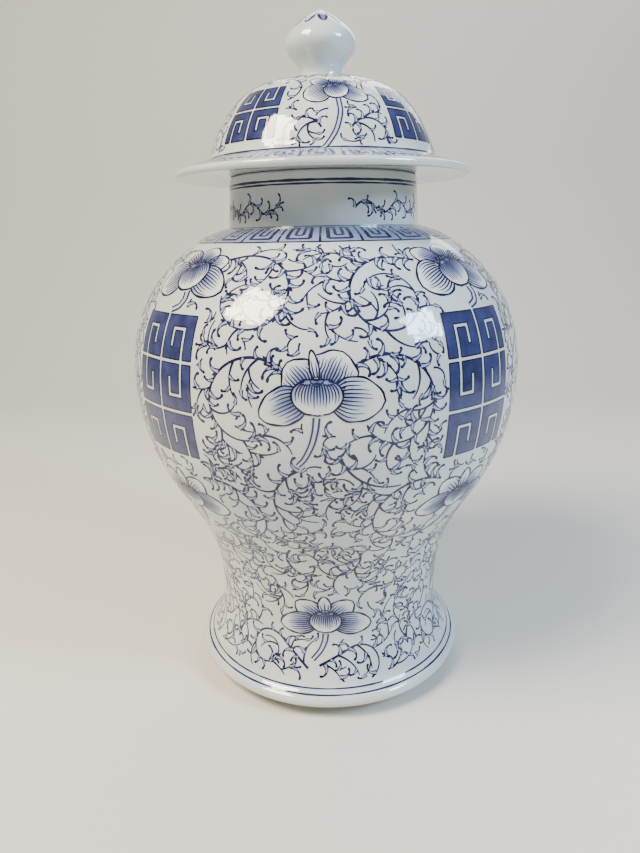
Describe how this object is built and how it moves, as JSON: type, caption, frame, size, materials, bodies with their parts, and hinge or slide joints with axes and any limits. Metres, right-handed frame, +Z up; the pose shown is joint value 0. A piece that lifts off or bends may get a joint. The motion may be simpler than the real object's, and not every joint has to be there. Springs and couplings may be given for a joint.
{
  "type": "covered baluster jar",
  "caption": "Covered baluster jar in white glazed porcelain with blue painted vines and flowers, a flared foot, and a loose domed lid with a wide brim and a bud knob.",
  "frame": {"origin": "centre of the foot ring's underside, on the jar's axis, where it stands on the table", "axes": "+Z up along the jar's axis from the foot to the knob; -Y faces the viewer, towards the painted flower between two lattice panels"},
  "size_m": [0.2716, 0.2717, 0.46],
  "materials": {
    "white_glaze": "gloss",
    "cobalt_paint": "gloss",
    "bare_clay": "matte"
  },
  "bodies": {
    "jar": {"jar_foot_ring": "bare_clay", "jar_foot": "white_glaze", "jar_lower_body": "white_glaze", "jar_upper_body": "white_glaze", "jar_neck": "white_glaze"},
    "lid": {"lid_shell": "white_glaze", "lid_collar": "bare_clay", "lid_knob": "white_glaze"}
  },
  "joints": [
    {"name": "lid_lift", "type": "slide", "parent": "jar", "child": "lid", "axis": [0, 0, 1], "range_m": [0, 0.16]}
  ]
}
